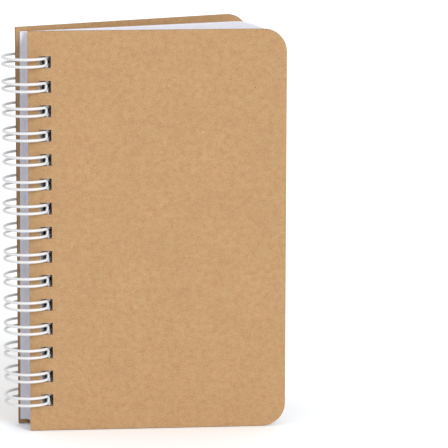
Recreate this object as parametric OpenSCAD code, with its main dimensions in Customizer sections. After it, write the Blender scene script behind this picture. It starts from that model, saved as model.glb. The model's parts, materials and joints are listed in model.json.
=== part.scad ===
// Pocket notebook: two kraft board covers and a block of sheets on one twin-loop wire.
// It stands on the bottom edges of its covers with the spine upright, opened a little.
//
// The wire's rings share one vertical axis, the ring axis. Every cover and sheet turns
// about that axis, so its holes run round the wire. The origin is the middle of the
// footprint, on the surface that the notebook stands on.

/* [Covers] */
// Width of a cover, from spine edge to fore-edge
cover_w = 89; // [80:1:105]
// Height of a cover, along the spine
cover_h = 140; // [130:1:160]
// Thickness of the board
cover_t = 0.85; // [0.8:0.05:0.9]
// Radius of the two corners at the fore-edge
cover_corner_r = 8; // [3:0.5:12]

/* [Sheets] */
// Width of a sheet
sheet_w = 85.5; // [76:0.5:86]
// How far the covers stand above and below the sheets
sheet_margin = 1.5; // [1:0.25:4]
// Thickness of one sheet
sheet_t = 0.1; // [0.08:0.01:0.12]
// Distance from one sheet to the next, middle to middle
sheet_pitch = 0.113; // [0.111:0.001:0.125]
// Sheets that turn together as one leaf group
group_sheets = 4; // [1:1:4]
// How far the first sheet hangs towards the wire, and the last one away from it
sheet_lean = 1; // [0.9:0.05:1.1]
// Number of leaf groups
groups = 20; // [1:1:20]

/* [Binding] */
// Number of twin loops
loops = 15; // [3:1:15]
// Distance between loops: three to the inch
loop_pitch = 8.4667; // [8.4:0.0001:8.5]
// Radius of a ring, to the middle of the wire
ring_r = 8; // [7.9:0.1:9]
// Diameter of the coated wire
wire_d = 1; // [0.8:0.1:1]
// Distance between the two strands of a loop, middle to middle
strand_gap = 2.5; // [2.2:0.1:2.6]
// Radius of the bends at the base of the loops
bend_r = 0.8; // [0.7:0.05:0.9]
// Distance from the closed tips to the base of the loops, along the ring
tip_gap = 0.4; // [0.4:0.05:0.6]
// Side of a square hole
hole_side = 4.1; // [4.1:0.05:4.2]
// Distance from the spine edge to the middle of the holes
hole_inset = 5.9; // [5.5:0.1:6.5]
// How far the front cover lies in front of the ring axis
front_offset = 4.8; // [4.6:0.1:5]
// Room behind the front cover for the base of the loops
seam_gap = 1.3; // [1.3:0.05:1.5]
// How far the back cover is pulled away from the wire, in the play of its holes
back_pull = 0.15; // [0.1:0.05:0.2]

/* [Pose] */
// Angle between the two covers
open_angle = 20.7; // [12:0.1:28]
// Angle from one leaf group to the next
fan_step = 0.8; // [0:0.05:0.85]

/* [Hidden] */
LEAVES = [for (i = [1:groups]) str("leaves_", i < 10 ? "0" : "", i)];
$fn = 48;

kraft = [0.72, 0.55, 0.37];
paper = [0.95, 0.94, 0.92];
coated_wire = [0.96, 0.96, 0.96];

// Offsets of the flat pieces from the ring axis, to their middle planes
cover_clearance = 0.05;
first_sheet = -front_offset + cover_t / 2 + seam_gap + sheet_t / 2;
last_sheet = first_sheet + (groups * group_sheets - 1) * sheet_pitch;
back_offset = last_sheet + sheet_t / 2 + cover_clearance + cover_t / 2;

// The base of the loops lies in the middle of the seam gap
base_y = -front_offset + cover_t / 2 + seam_gap / 2;
bend_turn = atan(bend_r / ring_r);
base_turn = asin(base_y / norm([ring_r, bend_r]));
strand_start = base_turn + bend_turn;
strand_end = base_turn - tip_gap / ring_r * 180 / PI - atan(strand_gap / 2 / ring_r);
end_stub = 0.8;

// The wire is made of arcs and straight runs. A ball a hair thicker than the wire joins
// each to the next, and they stop just short of its middle.
joint_d = wire_d + 0.06;
joint_cut = 0.03;

sheet_h = cover_h - 2 * sheet_margin;
sheet_corner_r = cover_corner_r - sheet_margin;
first_loop_z = (cover_h - (loops - 1) * loop_pitch) / 2;

// Footprint of the notebook about the ring axis, which sets the origin
ring_reach = ring_r + wire_d / 2;
right_reach = edge_x(-front_offset) + cover_w;
rear_reach = sin(open_angle) * (edge_x(back_offset) + back_pull + cover_w)
    + cos(open_angle) * (back_offset + cover_t / 2);
axis_x = (ring_reach - right_reach) / 2;
axis_y = (ring_reach - rear_reach) / 2;

// Distance from the ring axis to the spine edge of a flat piece at this offset
function edge_x(offset) = sqrt(ring_r * ring_r - offset * offset) - hole_inset;

// Outline of a cover or sheet: square corners at the spine, round ones at the fore-edge
module outline(w, h, r) {
    square([w - r, h]);
    translate([0, r]) square([w, h - 2 * r]);
    for (y = [r, h - r]) translate([w - r, y]) circle(r);
}

module hole_row(bottom) {
    for (k = [0 : loops - 1])
        translate([hole_inset, first_loop_z - bottom + k * loop_pitch])
            square(hole_side, center = true);
}

// A punched flat piece, turned about the ring axis. Pull moves it away from the wire,
// in the play of its holes.
module flat_piece(w, h, t, r, offset, turn, pull = 0) {
    bottom = (cover_h - h) / 2;
    rotate([0, 0, turn])
        translate([edge_x(offset) + pull, offset + t / 2, bottom])
            rotate([90, 0, 0])
                linear_extrude(t)
                    difference() {
                        outline(w, h, r);
                        hole_row(bottom);
                    }
}

// Round wire along an arc of the XY plane, stopping just short of the arc's two ends
module wire_arc(r, from, sweep) {
    cut = joint_cut / r * 180 / PI;
    rotate([0, 0, from + cut])
        rotate_extrude(angle = sweep - 2 * cut)
            translate([r, 0]) circle(d = wire_d);
}

// A bend of the wire that lies flat against the ring at the angle given by turn,
// with the round joints at its two ends
module wire_bend(turn, z, r, from, sweep) {
    rotate([0, 0, turn])
        translate([ring_r, 0, z])
            rotate([0, 90, 0]) {
                wire_arc(r, from, sweep);
                for (a = [from, from + sweep])
                    rotate([0, 0, a]) translate([r, 0, 0]) sphere(d = joint_d);
            }
}

// A straight piece of the base, between two heights
module base_run(low, high) {
    rotate([0, 0, strand_start])
        translate([ring_r, -bend_r, low + joint_cut])
            cylinder(d = wire_d, h = high - low - 2 * joint_cut);
}

// Two strands that meet in a closed tip, with a bend at the foot of each
module twin_loop(z) {
    for (side = [-1, 1])
        translate([0, 0, z + side * strand_gap / 2])
            wire_arc(ring_r, strand_start, 360 + strand_end - strand_start);
    wire_bend(strand_end, z, strand_gap / 2, 0, 180);
    wire_bend(strand_start, z + strand_gap / 2 + bend_r, bend_r, -90, 90);
    wire_bend(strand_start, z - strand_gap / 2 - bend_r, bend_r, 180, 90);
}

module binding_wire() {
    foot = strand_gap / 2 + bend_r;
    top_loop_z = first_loop_z + (loops - 1) * loop_pitch;
    color(coated_wire) translate([axis_x, axis_y, 0]) {
        for (k = [0 : loops - 1]) twin_loop(first_loop_z + k * loop_pitch);
        for (k = [0 : loops - 2]) {
            z = first_loop_z + k * loop_pitch;
            base_run(z + foot, z + loop_pitch - foot);
        }
        base_run(first_loop_z - foot - end_stub, first_loop_z - foot);
        base_run(top_loop_z + foot, top_loop_z + foot + end_stub);
    }
}

module front_cover() {
    color(kraft) translate([axis_x, axis_y, 0])
        flat_piece(cover_w, cover_h, cover_t, cover_corner_r, -front_offset, 0);
}

module back_cover() {
    color(kraft) translate([axis_x, axis_y, 0])
        flat_piece(cover_w, cover_h, cover_t, cover_corner_r, back_offset, open_angle, back_pull);
}

// One leaf group, counted from the front cover
module leaves(i) {
    color(paper) translate([axis_x, axis_y, 0])
        for (j = [0 : group_sheets - 1]) {
            index = (i - 1) * group_sheets + j;
            offset = first_sheet + index * sheet_pitch;
            pull = sheet_lean * (2 * index / (groups * group_sheets - 1) - 1);
            flat_piece(sheet_w, sheet_h, sheet_t, sheet_corner_r, offset, i * fan_step, pull);
        }
}

front_cover();
back_cover();
binding_wire();
for (i = [1:groups])
    leaves(i);
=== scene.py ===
"""Looks of the wire-bound pocket notebook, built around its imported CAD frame, in metres."""
import json
import math
import random

import bmesh
import bpy
from mathutils import Matrix, Vector

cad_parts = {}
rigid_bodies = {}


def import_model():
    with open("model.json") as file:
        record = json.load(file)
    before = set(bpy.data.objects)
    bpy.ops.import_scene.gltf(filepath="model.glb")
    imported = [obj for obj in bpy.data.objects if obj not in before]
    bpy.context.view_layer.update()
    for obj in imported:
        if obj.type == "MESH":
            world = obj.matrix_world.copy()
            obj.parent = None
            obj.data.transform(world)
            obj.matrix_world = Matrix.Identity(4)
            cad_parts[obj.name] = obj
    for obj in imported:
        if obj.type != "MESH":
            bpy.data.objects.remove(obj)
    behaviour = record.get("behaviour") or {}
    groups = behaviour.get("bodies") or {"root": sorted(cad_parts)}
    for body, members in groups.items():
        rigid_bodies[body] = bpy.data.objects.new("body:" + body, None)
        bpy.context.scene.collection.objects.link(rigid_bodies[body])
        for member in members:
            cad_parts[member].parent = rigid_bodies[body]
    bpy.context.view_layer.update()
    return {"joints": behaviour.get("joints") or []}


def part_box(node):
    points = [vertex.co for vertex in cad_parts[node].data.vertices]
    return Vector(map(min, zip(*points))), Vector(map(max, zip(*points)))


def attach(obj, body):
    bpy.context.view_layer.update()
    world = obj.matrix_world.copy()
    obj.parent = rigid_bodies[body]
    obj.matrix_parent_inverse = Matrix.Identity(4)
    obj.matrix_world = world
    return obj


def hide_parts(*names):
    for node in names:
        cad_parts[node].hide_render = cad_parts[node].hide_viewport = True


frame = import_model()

MM = 0.001

# Binding: one continuous wire, wrapped on a cylinder about the ring axis
LOOPS = 15
LOOP_PITCH = 25.4 / 3 * MM
STRAND_GAP = 2.5 * MM
BEND_R = 0.8 * MM
TIP_GAP = 0.4 * MM
END_STUB = 0.8 * MM
WIRE_R = 0.5 * MM
SEAM_GAP = 1.3 * MM
WIRE_STEP = 3.5  # degrees of ring between two points of the wire
BEND_STEP = 15  # degrees between two points of a bend
WIRE_SEED = 11
# How far a loop may be out of true, in millimetres: its tip's reach, its roundness, its droop
TIP_REACH = (-0.12, 0.05)
LOOP_SWELL = (-0.15, 0.1)
LOOP_SWAY = (-0.14, 0.14)

# Punched flat pieces
HOLE_SIDE = 4.1 * MM
HOLE_INSET = 5.9 * MM
COVER_CORNER_R = 8 * MM
COVER_CLEARANCE = 0.05 * MM
COVER_BEVEL = 0.16 * MM
BACK_PULL = 0.15 * MM
SHEET_W = 85.5 * MM
SHEET_T = 0.1 * MM
SHEET_PITCH = 0.113 * MM
SHEET_MARGIN = 1.5 * MM
GROUP_SHEETS = 4
GROUPS = 20
SHEET_SEED = 7
# How far the first sheet hangs towards the wire and the last one away from it, and how evenly
SHEET_LEAN = 1.0 * MM
SHEET_JITTER = 0.1 * MM
LIFT_SHARE = 0.8  # how much of that unevenness is up and down
# The last group hangs askew instead: how far each of its sheets is shifted, and its lean in degrees
ASKEW_SHIFTS = (0.03 * MM, -0.12 * MM, -0.225 * MM, 0.45 * MM)
ASKEW_LEANS = (0.1, 0.2, 0.4, 0.4)
# A rim is an edge that turns by more than this, in degrees. A face whose normal lies this
# close to the piece's own is flat, not a rim.
RIM_ANGLE = 60
FLAT = 0.999

# Colours. A pair holds the light shade and the dark one.
KRAFT_SHADES = (0.42, 0.25, 0.124), (0.34, 0.202, 0.096)
KRAFT_MOTTLE = (0.27, 0.138, 0.062)
KRAFT_TINT = (0.355, 0.255, 0.12)
KRAFT_DARK_FLECK = (0.10, 0.055, 0.025)
KRAFT_PALE_FLECK = (0.74, 0.56, 0.36)
# The board's cut edges are darker partly in their own colour and partly as painted shade, a dark
# line round every rim and hole.
BOARD_EDGE_AND_PAINTED_SHADE = (0.33, 0.2, 0.1), (0.19, 0.105, 0.045)
BOARD_EDGE_SEAM = (0.14, 0.08, 0.035)
PAPER_SHADES = (0.69, 0.69, 0.73), (0.66, 0.66, 0.695)
PAPER_EDGE_SHADES = (0.72, 0.72, 0.83), (0.62, 0.62, 0.73)
COATING_SHADES = (0.63, 0.63, 0.635), (0.54, 0.54, 0.55)
STEEL_SHADES = (0.55, 0.55, 0.56), (0.34, 0.34, 0.35)
FLOOR_SHADES = (0.95, 0.965, 0.98), (0.93, 0.945, 0.96)

# Camera: aimed at a point beside the ring axis, as seen from there
CAMERA_AZIMUTH = -5.48
CAMERA_ELEVATION = 11.0
CAMERA_ROLL = 0.14
CAMERA_DISTANCE = 1.1765
CAMERA_LENS = 272.1
CAMERA_TARGET = Vector((0.0684, 0.0, 0.0711))

# One soft key light, which shines from this side, and the floor
KEY_FROM = (0.55, -0.8, 0.5)
KEY_STRENGTH = 1.7
KEY_SOFTNESS = 25  # degrees
FLOOR_HALF_SIDE = 4.0
FLOOR_DROP = 0.2 * MM

joints = {j["child"]: j for j in frame["joints"]}
ring_axis = Vector(joints["front_cover"]["pos_m"]).to_2d()
cover_low, cover_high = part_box("front_cover")
wire_low, wire_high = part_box("binding_wire")
cover_w = cover_high.x - cover_low.x
cover_h = cover_high.z
cover_t = cover_high.y - cover_low.y
front_offset = (cover_high.y + cover_low.y) / 2 - ring_axis.y
ring_r = (wire_high.x - wire_low.x) / 2 - WIRE_R
first_loop_z = (cover_h - (LOOPS - 1) * LOOP_PITCH) / 2
first_sheet = front_offset + cover_t / 2 + SEAM_GAP + SHEET_T / 2
last_sheet = first_sheet + (GROUPS * GROUP_SHEETS - 1) * SHEET_PITCH
back_offset = last_sheet + SHEET_T / 2 + COVER_CLEARANCE + cover_t / 2


def rest_turn(body):
    """A body's angle about the ring axis at rest, summed up its chain of joints.

    Each joint's lower limit is the closed notebook.
    """
    turn = 0.0
    while body in joints and body != "front_cover":
        turn -= math.radians(joints[body]["range_deg"][0])
        body = joints[body]["parent"]
    return turn


# ---------------------------------------------------------------- materials

def new_material(name):
    material = bpy.data.materials.new(name)
    material.use_nodes = True
    shader = material.node_tree.nodes["Principled BSDF"]
    return material, material.node_tree, shader


def add_node(tree, kind, values=None, **settings):
    node = tree.nodes.new(kind)
    for key, value in settings.items():
        setattr(node, key, value)
    for key, value in (values or {}).items():
        node.inputs[key].default_value = value
    return node


def noise(tree, vector, scale, detail=2.0, roughness=0.5, stretch=(1, 1, 1), turn=0.0):
    """A noise texture on a mapped vector: turned in the plane, then drawn out by stretch."""
    mapping = add_node(tree, "ShaderNodeMapping", vector_type="TEXTURE")
    mapping.inputs["Scale"].default_value = stretch
    mapping.inputs["Rotation"].default_value = (0, 0, turn)
    tree.links.new(vector, mapping.inputs["Vector"])
    texture = add_node(tree, "ShaderNodeTexNoise",
                       {"Scale": scale, "Detail": detail, "Roughness": roughness})
    tree.links.new(mapping.outputs["Vector"], texture.inputs["Vector"])
    return texture.outputs["Fac"]


def remap(tree, value, low, high, to_low, to_high):
    node = add_node(tree, "ShaderNodeMapRange", {"From Min": low, "From Max": high,
                                                 "To Min": to_low, "To Max": to_high})
    tree.links.new(value, node.inputs["Value"])
    return node.outputs["Result"]


def math_node(tree, operation, a, b):
    node = add_node(tree, "ShaderNodeMath", operation=operation)
    for socket, value in zip(node.inputs, (a, b)):
        if isinstance(value, (int, float)):
            socket.default_value = value
        else:
            tree.links.new(value, socket)
    return node.outputs["Value"]


def mix_colour(tree, factor, a, b):
    node = add_node(tree, "ShaderNodeMix", data_type="RGBA")
    for socket, value in ((node.inputs[0], factor), (node.inputs[6], a), (node.inputs[7], b)):
        if isinstance(value, (int, float)):
            socket.default_value = value
        elif isinstance(value, tuple):
            socket.default_value = (*value, 1)
        else:
            tree.links.new(value, socket)
    return node.outputs[2]


def add_bump(tree, shader, height, strength, distance):
    bump = add_node(tree, "ShaderNodeBump", {"Strength": strength, "Distance": distance})
    tree.links.new(height, bump.inputs["Height"])
    tree.links.new(bump.outputs["Normal"], shader.inputs["Normal"])


def fibres(tree, plane):
    """Short pulp fibres that lie every way in the plane: the strongest of four drawn-out noises."""
    total = None
    for step, turn in enumerate((0.2, 1.05, 1.75, 2.6)):
        layer = noise(tree, plane, 1500 + 170 * step, 2.0, 0.6, (1, 8, 1), turn)
        total = layer if total is None else math_node(tree, "MAXIMUM", total, layer)
    return total


def kraft_material(name, light, dark):
    """Uncoated kraft board: cloudy mottled pulp, fine fibres, and a few dark and light flecks."""
    material, tree, shader = new_material(name)
    plane = add_node(tree, "ShaderNodeTexCoord").outputs["UV"]
    clouds = remap(tree, noise(tree, plane, 70, 5.0, 0.62), 0.3, 0.7, 0, 1)
    colour = mix_colour(tree, clouds, light, dark)
    mottle = remap(tree, noise(tree, plane, 520, 3.0, 0.7), 0.35, 0.65, 0, 0.8)
    colour = mix_colour(tree, mottle, colour, KRAFT_MOTTLE)
    tint = remap(tree, noise(tree, plane, 300, 4.0, 0.7), 0.35, 0.65, 0, 0.5)
    colour = mix_colour(tree, tint, colour, KRAFT_TINT)
    grain = fibres(tree, plane)
    streaks = remap(tree, grain, 0.55, 0.78, 0, 0.5)
    colour = mix_colour(tree, streaks, colour, tuple(c * 0.72 for c in dark))
    pulp = remap(tree, noise(tree, plane, 2600, 3.0, 0.7), 0.35, 0.7, 0, 0.5)
    colour = mix_colour(tree, pulp, colour, tuple(c * 1.5 for c in light))
    flecks = remap(tree, noise(tree, plane, 1150, 1.0, 0.4, (1, 1.8, 1), 0.7), 0.78, 0.82, 0, 0.6)
    colour = mix_colour(tree, flecks, colour, KRAFT_DARK_FLECK)
    pale = remap(tree, noise(tree, plane, 950, 1.0, 0.4, (1.7, 1, 1), 2.1), 0.78, 0.82, 0, 0.4)
    colour = mix_colour(tree, pale, colour, KRAFT_PALE_FLECK)
    tree.links.new(colour, shader.inputs["Base Color"])
    rough = remap(tree, grain, 0.4, 0.8, 0.92, 0.78)
    tree.links.new(rough, shader.inputs["Roughness"])
    shader.inputs["Specular IOR Level"].default_value = 0.25
    height = math_node(tree, "ADD", grain, math_node(tree, "MULTIPLY", clouds, 0.5))
    add_bump(tree, shader, height, 0.35, 0.05 * MM)
    return material


def board_edge_and_shade_material():
    """The cut edge of the board: rough and layered, and darker partly in its own colour and partly
    as painted shade, a dark line along every rim.
    """
    light, dark = BOARD_EDGE_AND_PAINTED_SHADE
    material, tree, shader = new_material("kraft_cut_edge_and_painted_shade")
    place = add_node(tree, "ShaderNodeTexCoord").outputs["Object"]
    torn = noise(tree, place, 2400, 4.0, 0.7)
    layers = noise(tree, place, 900, 2.0, 0.5, (1, 1, 12))
    colour = mix_colour(tree, remap(tree, torn, 0.3, 0.7, 0, 1), dark, light)
    colour = mix_colour(tree, remap(tree, layers, 0.4, 0.65, 0, 0.6), colour, BOARD_EDGE_SEAM)
    tree.links.new(colour, shader.inputs["Base Color"])
    shader.inputs["Roughness"].default_value = 0.95
    shader.inputs["Specular IOR Level"].default_value = 0.15
    add_bump(tree, shader, torn, 0.5, 0.06 * MM)
    return material


def paper_material(name, light, dark):
    """Uncoated white paper: even, with faint formation clouds and a fine tooth."""
    material, tree, shader = new_material(name)
    place = add_node(tree, "ShaderNodeTexCoord").outputs["Object"]
    clouds = remap(tree, noise(tree, place, 260, 4.0, 0.6), 0.3, 0.7, 0, 1)
    colour = mix_colour(tree, clouds, light, dark)
    tree.links.new(colour, shader.inputs["Base Color"])
    tooth = noise(tree, place, 5200, 3.0, 0.65)
    rough = remap(tree, tooth, 0.3, 0.7, 0.72, 0.86)
    tree.links.new(rough, shader.inputs["Roughness"])
    shader.inputs["Specular IOR Level"].default_value = 0.3
    add_bump(tree, shader, tooth, 0.2, 0.02 * MM)
    return material


def wire_material():
    """White nylon coating on steel wire: satin, with a faint orange-peel skin and slight scuffs."""
    material, tree, shader = new_material("white_coated_wire")
    place = add_node(tree, "ShaderNodeTexCoord").outputs["Object"]
    skin = noise(tree, place, 1800, 2.0, 0.5)
    scuffs = remap(tree, noise(tree, place, 420, 4.0, 0.65), 0.55, 0.75, 0, 0.35)
    colour = mix_colour(tree, scuffs, *COATING_SHADES)
    tree.links.new(colour, shader.inputs["Base Color"])
    rough = remap(tree, skin, 0.3, 0.7, 0.26, 0.42)
    tree.links.new(rough, shader.inputs["Roughness"])
    shader.inputs["Coat Weight"].default_value = 0.12
    shader.inputs["Coat Roughness"].default_value = 0.15
    add_bump(tree, shader, skin, 0.15, 0.03 * MM)
    return material


def cut_steel_material():
    """The bare sheared ends of the wire."""
    light, dark = STEEL_SHADES
    material, tree, shader = new_material("sheared_steel")
    place = add_node(tree, "ShaderNodeTexCoord").outputs["Object"]
    marks = noise(tree, place, 6000, 2.0, 0.6, (1, 10, 1))
    colour = mix_colour(tree, marks, dark, light)
    tree.links.new(colour, shader.inputs["Base Color"])
    shader.inputs["Metallic"].default_value = 1
    shader.inputs["Roughness"].default_value = 0.4
    return material


# ---------------------------------------------------------------- flat pieces

def column_places(w, r):
    """Distances from the spine edge: the hole's two sides, even steps, then the round corner."""
    hole = [0, HOLE_INSET - HOLE_SIDE / 2, HOLE_INSET + HOLE_SIDE / 2]
    start, end, steps = hole[-1], w - r, 8
    even = [start + (end - start) * k / steps for k in range(1, steps + 1)]
    arc = [w - r + r * math.sin(math.radians(a)) for a in range(9, 91, 9)]
    return hole + even + arc


def row_places(h, bottom):
    """Heights of the hole edges above the piece's own bottom edge."""
    rows = []
    for k in range(LOOPS):
        middle = first_loop_z - bottom + k * LOOP_PITCH
        rows += [middle - HOLE_SIDE / 2, middle + HOLE_SIDE / 2]
    return rows


def corner_drop(x, w, r):
    """How far the outline's top falls below the full height at this distance from the spine."""
    past = max(0.0, x - (w - r))
    return r - math.sqrt(max(0.0, r * r - past * past))


def add_plate(bm, w, h, t, r, bottom, place):
    """Adds a punched plate to bm as a closed solid: a front and a back skin joined all round."""
    uv = bm.loops.layers.uv.verify()
    xs, inner = column_places(w, r), row_places(h, bottom)
    rows = len(inner) + 2
    flat = {}

    def height(i, j):
        drop = corner_drop(xs[i], w, r)
        if j == 0:
            return drop
        return h - drop if j == rows - 1 else inner[j - 1]

    skins = []
    for side in (-1, 1):
        grid = {}
        for i in range(len(xs)):
            for j in range(rows):
                point = Vector((xs[i], side * t / 2, height(i, j)))
                vertex = bm.verts.new(place @ point)
                flat[vertex] = (point.x, point.z + bottom)
                grid[i, j] = vertex
        skins.append(grid)
    cells = [(i, j) for i in range(len(xs) - 1) for j in range(rows - 1)
             if not (i == 1 and j % 2 == 1)]
    present = set(cells)
    faces = []
    for i, j in cells:
        ring = ((i, j), (i + 1, j), (i + 1, j + 1), (i, j + 1))
        faces.append(bm.faces.new([skins[0][c] for c in ring]))
        faces.append(bm.faces.new([skins[1][c] for c in reversed(ring)]))
        for k, (di, dj) in enumerate(((0, -1), (1, 0), (0, 1), (-1, 0))):
            if (i + di, j + dj) not in present:
                a, b = ring[k], ring[(k + 1) % 4]
                faces.append(bm.faces.new([skins[0][b], skins[0][a], skins[1][a], skins[1][b]]))
    for face in faces:
        for loop in face.loops:
            loop[uv].uv = flat[loop.vert]


def plate_place(offset, turn, bottom, shift=0.0):
    """Where a flat piece's own frame lies: its spine edge on the arc set by the ring."""
    edge = math.sqrt(ring_r ** 2 - offset ** 2) - HOLE_INSET + shift
    to_axis = Matrix.Translation((ring_axis.x, ring_axis.y, 0))
    return to_axis @ Matrix.Rotation(turn, 4, "Z") @ Matrix.Translation((edge, offset, bottom))


def finish_mesh(bm, name, materials):
    mesh = bpy.data.meshes.new(name)
    bm.normal_update()
    bm.to_mesh(mesh)
    bm.free()
    for material in materials:
        mesh.materials.append(material)
    piece = bpy.data.objects.new(name, mesh)
    bpy.context.scene.collection.objects.link(piece)
    return piece


def make_cover(name, body, offset, pull, face_material, edge_material):
    """A board with softly rounded rims: every edge and hole is rounded a little and shows the cut,
    whose darker colour is partly painted shade along the rims.
    """
    bm = bmesh.new()
    turn = rest_turn(body)
    place = plate_place(offset, turn, 0.0, pull)
    add_plate(bm, cover_w, cover_h, cover_t, COVER_CORNER_R, 0.0, place)
    sharp = [e for e in bm.edges if e.calc_face_angle(0) > math.radians(RIM_ANGLE)]
    bmesh.ops.bevel(bm, geom=sharp, offset=COVER_BEVEL, segments=3, profile=0.5, affect="EDGES",
                    clamp_overlap=True)
    bm.normal_update()
    facing = Vector((-math.sin(turn), math.cos(turn), 0))
    for face in bm.faces:
        flat = abs(face.normal.dot(facing)) > FLAT
        face.material_index = 0 if flat else 1
        face.smooth = not flat
    piece = finish_mesh(bm, name, [face_material, edge_material])
    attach(piece, body)
    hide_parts(body)


def make_leaves(group, paper, cut_paper, draw):
    """Four separate sheets, each a hair out of line with the next, as loose sheets are."""
    bm = bmesh.new()
    body = f"leaves_{group:02d}"
    turn = rest_turn(body)
    facing = Vector((-math.sin(turn), math.cos(turn), 0))
    height = cover_h - 2 * SHEET_MARGIN
    for k in range(GROUP_SHEETS):
        index = (group - 1) * GROUP_SHEETS + k
        offset = first_sheet + index * SHEET_PITCH
        lean = SHEET_LEAN * (2 * index / (GROUPS * GROUP_SHEETS - 1) - 1)
        shift = lean + draw.uniform(-SHEET_JITTER, SHEET_JITTER)
        lift = draw.uniform(-SHEET_JITTER, SHEET_JITTER) * LIFT_SHARE
        askew = 0.0
        if group == GROUPS:
            shift, lift, askew = ASKEW_SHIFTS[k], 0.0, math.radians(ASKEW_LEANS[k])
        middle = Matrix.Translation((HOLE_INSET, 0, height / 2))
        place = (plate_place(offset, turn, SHEET_MARGIN + lift, shift)
                 @ middle @ Matrix.Rotation(askew, 4, "Y") @ middle.inverted())
        add_plate(bm, SHEET_W, height, SHEET_T, COVER_CORNER_R - SHEET_MARGIN, SHEET_MARGIN, place)
    bm.normal_update()
    for face in bm.faces:
        face.material_index = 0 if abs(face.normal.dot(facing)) > FLAT else 1
    piece = finish_mesh(bm, f"sheets_{group:02d}", [paper, cut_paper])
    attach(piece, body)
    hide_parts(body)


# ---------------------------------------------------------------- the wire

def bend_points(arc, z, radius, degrees, k):
    """Points of the wire round a bend with this middle and radius, at these angles."""
    angles = [math.radians(d) for d in degrees]
    return [(arc + radius * math.cos(a), z + radius * math.sin(a), k) for a in angles]


def wire_route(draw):
    """The whole wire, from foot to head, as (arc length round the ring, height, loop number)."""
    base_y = front_offset + cover_t / 2 + SEAM_GAP / 2
    base = math.asin(base_y / ring_r) * ring_r
    tip = base + 2 * math.pi * ring_r - TIP_GAP - STRAND_GAP / 2
    foot = STRAND_GAP / 2 + BEND_R
    start = base + BEND_R
    run = int((tip - base) / ring_r / math.radians(WIRE_STEP))
    route = [(base, first_loop_z - foot - END_STUB, 0)]
    for k in range(LOOPS):
        z = first_loop_z + k * LOOP_PITCH
        low, high = z - STRAND_GAP / 2, z + STRAND_GAP / 2
        reach = tip + draw.uniform(*TIP_REACH) * MM
        route += bend_points(start, z - foot, BEND_R, range(180, 89, -BEND_STEP), k)
        route += [(start + (reach - start) * n / run, low, k) for n in range(1, run)]
        route += bend_points(reach, z, STRAND_GAP / 2, range(-90, 91, BEND_STEP), k)
        route += [(reach - (reach - start) * n / run, high, k) for n in range(1, run)]
        route += bend_points(start, z + foot, BEND_R, range(270, 179, -BEND_STEP), k)
    top_loop_z = first_loop_z + (LOOPS - 1) * LOOP_PITCH
    route.append((base, top_loop_z + foot + END_STUB, LOOPS - 1))
    return route


def make_wire(coating, steel, draw):
    """One tube along the route. Away from the holes each loop is a little out of true."""
    swell = [draw.uniform(*LOOP_SWELL) * MM for _ in range(LOOPS)]
    sway = [draw.uniform(*LOOP_SWAY) * MM for _ in range(LOOPS)]
    curve = bpy.data.curves.new("wire_path", "CURVE")
    curve.dimensions = "3D"
    curve.bevel_depth = WIRE_R
    curve.bevel_resolution = 4
    curve.use_fill_caps = True
    route = wire_route(draw)
    spline = curve.splines.new("POLY")
    spline.points.add(len(route) - 1)
    for point, (arc, z, k) in zip(spline.points, route):
        angle = arc / ring_r
        free = max(0.0, -math.cos(angle)) ** 2
        radius = ring_r + swell[k] * free
        point.co = (ring_axis.x + radius * math.cos(angle), ring_axis.y + radius * math.sin(angle),
                    z + sway[k] * free, 1)
    holder = bpy.data.objects.new("wire_path", curve)
    bpy.context.scene.collection.objects.link(holder)
    bpy.context.view_layer.update()
    mesh = bpy.data.meshes.new_from_object(holder)
    bpy.data.objects.remove(holder)
    mesh.name = "wire"
    mesh.materials.clear()
    mesh.materials.append(coating)
    mesh.materials.append(steel)
    for face in mesh.polygons:
        cap = len(face.vertices) > 4
        face.use_smooth = not cap
        face.material_index = 1 if cap else 0
    piece = bpy.data.objects.new("twin_loop_wire", mesh)
    bpy.context.scene.collection.objects.link(piece)
    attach(piece, "binding_wire")
    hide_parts("binding_wire")


# ---------------------------------------------------------------- camera, light and floor

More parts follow.
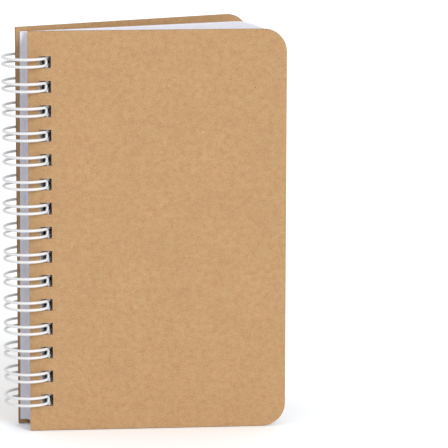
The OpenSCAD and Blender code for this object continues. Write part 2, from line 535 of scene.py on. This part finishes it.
def make_camera():
    azimuth = math.radians(CAMERA_AZIMUTH)
    elevation = math.radians(CAMERA_ELEVATION)
    away = Vector((math.sin(azimuth) * math.cos(elevation),
                   -math.cos(azimuth) * math.cos(elevation), math.sin(elevation)))
    target = CAMERA_TARGET + ring_axis.to_3d()
    data = bpy.data.cameras.new("camera")
    data.lens = CAMERA_LENS
    data.sensor_width = 36
    camera = bpy.data.objects.new("camera", data)
    aim = (-away).to_track_quat("-Z", "Y").to_matrix().to_4x4()
    roll = Matrix.Rotation(math.radians(CAMERA_ROLL), 4, "Z")
    camera.matrix_world = Matrix.Translation(target + away * CAMERA_DISTANCE) @ aim @ roll
    bpy.context.scene.collection.objects.link(camera)
    bpy.context.scene.camera = camera


def make_light(name, direction, strength, softness):
    data = bpy.data.lights.new(name, "SUN")
    data.energy = strength
    data.angle = math.radians(softness)
    light = bpy.data.objects.new(name, data)
    light.rotation_euler = (-Vector(direction)).to_track_quat("-Z", "Y").to_euler()
    bpy.context.scene.collection.objects.link(light)


def make_floor():
    light, dark = FLOOR_SHADES
    material, tree, shader = new_material("pale_floor")
    place = add_node(tree, "ShaderNodeTexCoord").outputs["Object"]
    shade = mix_colour(tree, noise(tree, place, 3, 2.0), dark, light)
    tree.links.new(shade, shader.inputs["Base Color"])
    shader.inputs["Roughness"].default_value = 0.9
    shader.inputs["Specular IOR Level"].default_value = 0.1
    bm = bmesh.new()
    bmesh.ops.create_grid(bm, x_segments=8, y_segments=8, size=FLOOR_HALF_SIDE)
    floor = finish_mesh(bm, "floor", [material])
    floor.location.z = -FLOOR_DROP


def make_world():
    world = bpy.data.worlds.new("studio")
    world.use_nodes = True
    background = world.node_tree.nodes["Background"]
    background.inputs["Color"].default_value = (1, 1, 1, 1)
    background.inputs["Strength"].default_value = 1.0
    bpy.context.scene.world = world
    bpy.context.scene.view_settings.view_transform = "Standard"


# ---------------------------------------------------------------- the scene

kraft = kraft_material("kraft_board", *KRAFT_SHADES)
# The cut-edge material carries painted shade along the board's rims as well as the cut's own
# colour.
cut_edge_and_shade = board_edge_and_shade_material()
paper = paper_material("white_paper", *PAPER_SHADES)
cut_paper = paper_material("paper_cut_edge", *PAPER_EDGE_SHADES)

make_cover("front_board", "front_cover", front_offset, 0.0, kraft, cut_edge_and_shade)
make_cover("back_board", "back_cover", back_offset, BACK_PULL, kraft, cut_edge_and_shade)
sheet_draw = random.Random(SHEET_SEED)
for number in range(1, GROUPS + 1):
    make_leaves(number, paper, cut_paper, sheet_draw)
make_wire(wire_material(), cut_steel_material(), random.Random(WIRE_SEED))

make_camera()
make_world()
make_light("key", KEY_FROM, KEY_STRENGTH, KEY_SOFTNESS)
make_floor()
